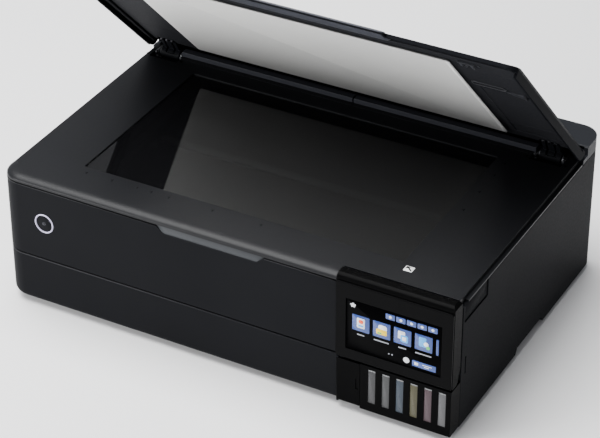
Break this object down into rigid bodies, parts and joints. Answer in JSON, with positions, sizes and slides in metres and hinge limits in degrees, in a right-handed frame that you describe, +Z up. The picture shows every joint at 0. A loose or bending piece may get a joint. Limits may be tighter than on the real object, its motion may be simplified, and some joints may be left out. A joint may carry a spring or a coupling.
{
  "type": "inkjet printer",
  "caption": "Wide flatbed inkjet printer with its scanner lid open, a tilting touch panel, ink tank windows and pull-out paper cassettes.",
  "frame": {"origin": "centre of the footprint's box on the surface that the feet stand on", "axes": "+X to the right seen from the front, +Y to the rear, +Z up"},
  "size_m": [0.523, 0.379, 0.3689],
  "materials": {
    "casing_black": "fine satin texture",
    "bed_black": "satin",
    "panel_black": "polished",
    "panel_sheet": "polished",
    "display": "glossy lit display",
    "scan_glass": "clear over a dark bay",
    "inner_black": "moulded",
    "pad_white": "soft satin sheet",
    "trim_grey": "satin",
    "ring": "satin",
    "steel": "plated",
    "gear_white": "moulded",
    "belt": "matte",
    "feet": "matte",
    "socket": "moulded",
    "board": "solder mask",
    "tanks": "translucent, tinted by the ink",
    "caps": "satin"
  },
  "bodies": {
    "body": {"base_case": "inner_black", "front_panel": "casing_black", "left_cover": "casing_black", "right_cover": "casing_black", "rear_panel": "casing_black", "rear_feeder_housing": "casing_black", "power_ring": "ring", "ink_bezel": "panel_black", "ink_tanks": "tanks", "card_slot": "inner_black", "chassis": "steel", "platen": "inner_black", "capping_station": "inner_black", "carriage_rail": "steel", "carriage_belt": "belt", "carriage_motor": "steel", "feed_motor": "steel", "main_board": "board", "power_supply": "steel", "ac_inlet": "socket", "data_ports": "inner_black", "rubber_feet": "feet"},
    "scanner": {"scanner_top": "bed_black", "scanner_base": "inner_black", "scanner_glass": "scan_glass", "scan_rail": "steel", "scan_motor": "steel", "hinge_pins": "steel", "rear_strips": "trim_grey"},
    "scan_carriage": {"scan_carriage": "inner_black"},
    "lid": {"lid_outer": "casing_black", "lid_inner": "inner_black", "document_pad": "pad_white", "lid_hinges": "inner_black"},
    "panel": {"panel_housing": "panel_black", "panel_glass": "panel_sheet", "lcd_module": "display"},
    "power_button": {"power_button": "casing_black"},
    "cassette": {"paper_cassette": "inner_black", "photo_cassette": "casing_black"},
    "guide_left": {"guide_left": "steel"},
    "guide_right": {"guide_right": "steel"},
    "front_cover": {"front_cover": "casing_black"},
    "output_tray": {"output_tray": "inner_black"},
    "ink_cover": {"ink_cover": "inner_black"},
    "ink_cap_1": {"ink_cap_1": "caps"},
    "ink_cap_2": {"ink_cap_2": "caps"},
    "ink_cap_3": {"ink_cap_3": "caps"},
    "ink_cap_4": {"ink_cap_4": "caps"},
    "ink_cap_5": {"ink_cap_5": "caps"},
    "ink_cap_6": {"ink_cap_6": "caps"},
    "card_door": {"card_door": "panel_black"},
    "feeder_cover": {"feeder_cover": "casing_black"},
    "paper_support": {"paper_support": "inner_black"},
    "rear_cover": {"rear_cover": "casing_black"},
    "print_carriage": {"print_carriage": "inner_black"},
    "drive_pulley": {"drive_pulley": "trim_grey"},
    "feed_roller": {"feed_roller": "steel"},
    "exit_roller": {"exit_roller": "inner_black"},
    "idler_gear": {"idler_gear": "gear_white"}
  },
  "joints": [
    {"name": "scanner_lift", "type": "hinge", "parent": "body", "child": "scanner", "pos_m": [0, 0.1205, 0.1524], "axis": [1, 0, 0], "range_deg": [-30, 0]},
    {"name": "lid_hinge", "type": "hinge", "parent": "scanner", "child": "lid", "pos_m": [0, 0.1205, 0.1524], "axis": [-1, 0, 0], "range_deg": [-46, 20]},
    {"name": "scan_carriage_slide", "type": "slide", "parent": "scanner", "child": "scan_carriage", "axis": [1, 0, 0], "range_m": [0, 0.33]},
    {"name": "panel_tilt", "type": "hinge", "parent": "body", "child": "panel", "pos_m": [0.1975, -0.1795, 0.156], "axis": [-1, 0, 0], "range_deg": [0, 45]},
    {"name": "power_press", "type": "slide", "parent": "body", "child": "power_button", "axis": [0, 1, 0], "range_m": [0, 0.001], "stiffness_N_per_m": 600, "springref_m": -0.001},
    {"name": "cassette_slide", "type": "slide", "parent": "body", "child": "cassette", "axis": [0, -1, 0], "range_m": [0, 0.2]},
    {"name": "front_cover_hinge", "type": "hinge", "parent": "cassette", "child": "front_cover", "pos_m": [-0.0615, -0.1785, 0.0115], "axis": [1, 0, 0], "range_deg": [0, 88]},
    {"name": "output_tray_slide", "type": "slide", "parent": "cassette", "child": "output_tray", "axis": [0, -1, 0], "range_m": [0, 0.106]},
    {"name": "guide_left_slide", "type": "slide", "parent": "cassette", "child": "guide_left", "axis": [1, 0, 0], "range_m": [0, 0.055]},
    {"name": "guide_right_slide", "type": "slide", "parent": "cassette", "child": "guide_right", "axis": [-1, 0, 0], "range_m": [0, 0.055]},
    {"name": "ink_cover_hinge", "type": "hinge", "parent": "body", "child": "ink_cover", "pos_m": [0.2085, -0.0725, 0.1173], "axis": [1, 0, 0], "range_deg": [-60, 0]},
    {"name": "ink_cap_1_hinge", "type": "hinge", "parent": "body", "child": "ink_cap_1", "pos_m": [0.1752, -0.1245, 0.0862], "axis": [-1, 0, 0], "range_deg": [0, 90]},
    {"name": "ink_cap_2_hinge", "type": "hinge", "parent": "body", "child": "ink_cap_2", "pos_m": [0.19048, -0.1245, 0.0862], "axis": [-1, 0, 0], "range_deg": [0, 90]},
    {"name": "ink_cap_3_hinge", "type": "hinge", "parent": "body", "child": "ink_cap_3", "pos_m": [0.20576, -0.1245, 0.0862], "axis": [-1, 0, 0], "range_deg": [0, 90]},
    {"name": "ink_cap_4_hinge", "type": "hinge", "parent": "body", "child": "ink_cap_4", "pos_m": [0.22104, -0.1245, 0.0862], "axis": [-1, 0, 0], "range_deg": [0, 90]},
    {"name": "ink_cap_5_hinge", "type": "hinge", "parent": "body", "child": "ink_cap_5", "pos_m": [0.23632, -0.1245, 0.0862], "axis": [-1, 0, 0], "range_deg": [0, 90]},
    {"name": "ink_cap_6_hinge", "type": "hinge", "parent": "body", "child": "ink_cap_6", "pos_m": [0.2516, -0.1245, 0.0862], "axis": [-1, 0, 0], "range_deg": [0, 90]},
    {"name": "card_door_hinge", "type": "hinge", "parent": "body", "child": "card_door", "pos_m": [0.1371, -0.1872, 0.036], "axis": [0, 0, -1], "range_deg": [0, 85]},
    {"name": "feeder_cover_hinge", "type": "hinge", "parent": "body", "child": "feeder_cover", "pos_m": [0.0035, 0.1625, 0.1638], "axis": [-1, 0, 0], "range_deg": [0, 88]},
    {"name": "paper_support_slide", "type": "slide", "parent": "body", "child": "paper_support", "axis": [0, 0, 1], "range_m": [0, 0.09]},
    {"name": "rear_cover_slide", "type": "slide", "parent": "body", "child": "rear_cover", "axis": [0, 1, 0], "range_m": [0, 0.06]},
    {"name": "print_carriage_slide", "type": "slide", "parent": "body", "child": "print_carriage", "axis": [-1, 0, 0], "range_m": [0, 0.285]},
    {"name": "drive_pulley_spin", "type": "hinge", "parent": "body", "child": "drive_pulley", "pos_m": [0.1285, 0.0655, 0.104], "axis": [0, 1, 0], "continuous": true},
    {"name": "feed_roller_spin", "type": "hinge", "parent": "body", "child": "feed_roller", "pos_m": [-0.0615, 0.0395, 0.07], "axis": [1, 0, 0], "continuous": true},
    {"name": "exit_roller_spin", "type": "hinge", "parent": "body", "child": "exit_roller", "pos_m": [-0.0615, -0.0325, 0.07], "axis": [1, 0, 0], "continuous": true},
    {"name": "idler_gear_spin", "type": "hinge", "parent": "body", "child": "idler_gear", "pos_m": [-0.2475, 0.0035, 0.07], "axis": [1, 0, 0], "continuous": true}
  ],
  "couplings": [
    {"joint": "output_tray_slide", "follows": "front_cover_hinge", "m_per_rad": 0.0687},
    {"joint": "guide_right_slide", "follows": "guide_left_slide", "ratio": 1},
    {"joint": "ink_cover_hinge", "follows": "scanner_lift", "ratio": 2},
    {"joint": "drive_pulley_spin", "follows": "print_carriage_slide", "rad_per_m": 125},
    {"joint": "idler_gear_spin", "follows": "feed_roller_spin", "ratio": -1},
    {"joint": "exit_roller_spin", "follows": "feed_roller_spin", "ratio": 1}
  ]
}
